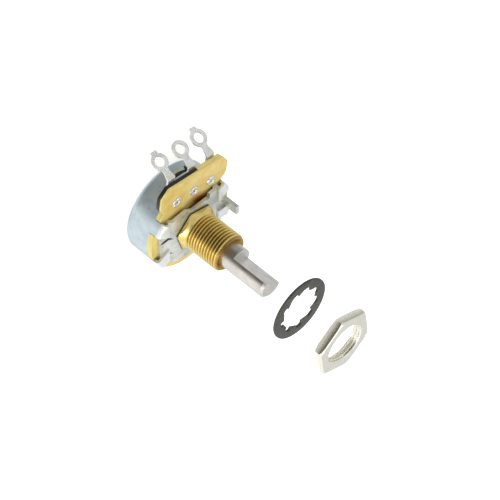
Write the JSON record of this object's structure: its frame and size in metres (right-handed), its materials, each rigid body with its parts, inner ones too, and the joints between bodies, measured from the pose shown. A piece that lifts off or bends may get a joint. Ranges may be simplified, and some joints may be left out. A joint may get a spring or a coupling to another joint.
{
  "type": "rotary potentiometer",
  "caption": "Panel-mount rotary potentiometer with a threaded brass bushing, a round shaft with a flat, solder lugs, and its lock washer and hex nut set out along the shaft.",
  "frame": {"origin": "centre of the can's flat back, on the shaft axis", "axes": "+Z along the shaft, outwards; +Y towards the middle solder lug; +X to the locating lug's side"},
  "size_m": [0.0238, 0.0318, 0.0562],
  "materials": {
    "zinc_steel": "bright zinc plate, faintly blue",
    "bushing_brass": "turned brass",
    "phenolic_board": "paper phenolic sheet, tan",
    "carbon": "printed carbon",
    "silver_ink": "printed silver ink",
    "contact_metal": "phosphor bronze",
    "tinned_brass": "tin plate",
    "fibre": "brown fibre",
    "shaft_aluminium": "turned",
    "spring_steel": "spring steel",
    "black_steel": "black oxide",
    "nickel_plate": "nickel plate"
  },
  "bodies": {
    "base": {"can_cover": "zinc_steel", "mounting_plate": "zinc_steel", "bushing": "bushing_brass", "base_board": "phenolic_board", "carbon_track": "carbon", "end_pad_left": "silver_ink", "end_pad_right": "silver_ink", "collector_ring": "contact_metal", "terminal_left": "tinned_brass", "terminal_middle": "tinned_brass", "terminal_right": "tinned_brass", "eyelet_left": "tinned_brass", "eyelet_middle": "tinned_brass", "eyelet_right": "tinned_brass", "thrust_washer": "fibre"},
    "rotor": {"shaft": "shaft_aluminium", "retaining_ring": "spring_steel", "rotor_insulator": "fibre", "wiper_spring": "contact_metal", "driver_plate": "zinc_steel"},
    "washer": {"lock_washer": "black_steel"},
    "nut": {"hex_nut": "nickel_plate"}
  },
  "joints": [
    {"name": "shaft_turn", "type": "hinge", "parent": "base", "child": "rotor", "pos_m": [0, 0, 0], "axis": [0, 0, 1], "range_deg": [-150, 150]},
    {"name": "washer_slide", "type": "slide", "parent": "base", "child": "washer", "axis": [0, 0, 1], "range_m": [-0.03025, 0]},
    {"name": "nut_slide", "type": "slide", "parent": "washer", "child": "nut", "axis": [0, 0, 1], "range_m": [-0.0111, 0]}
  ]
}
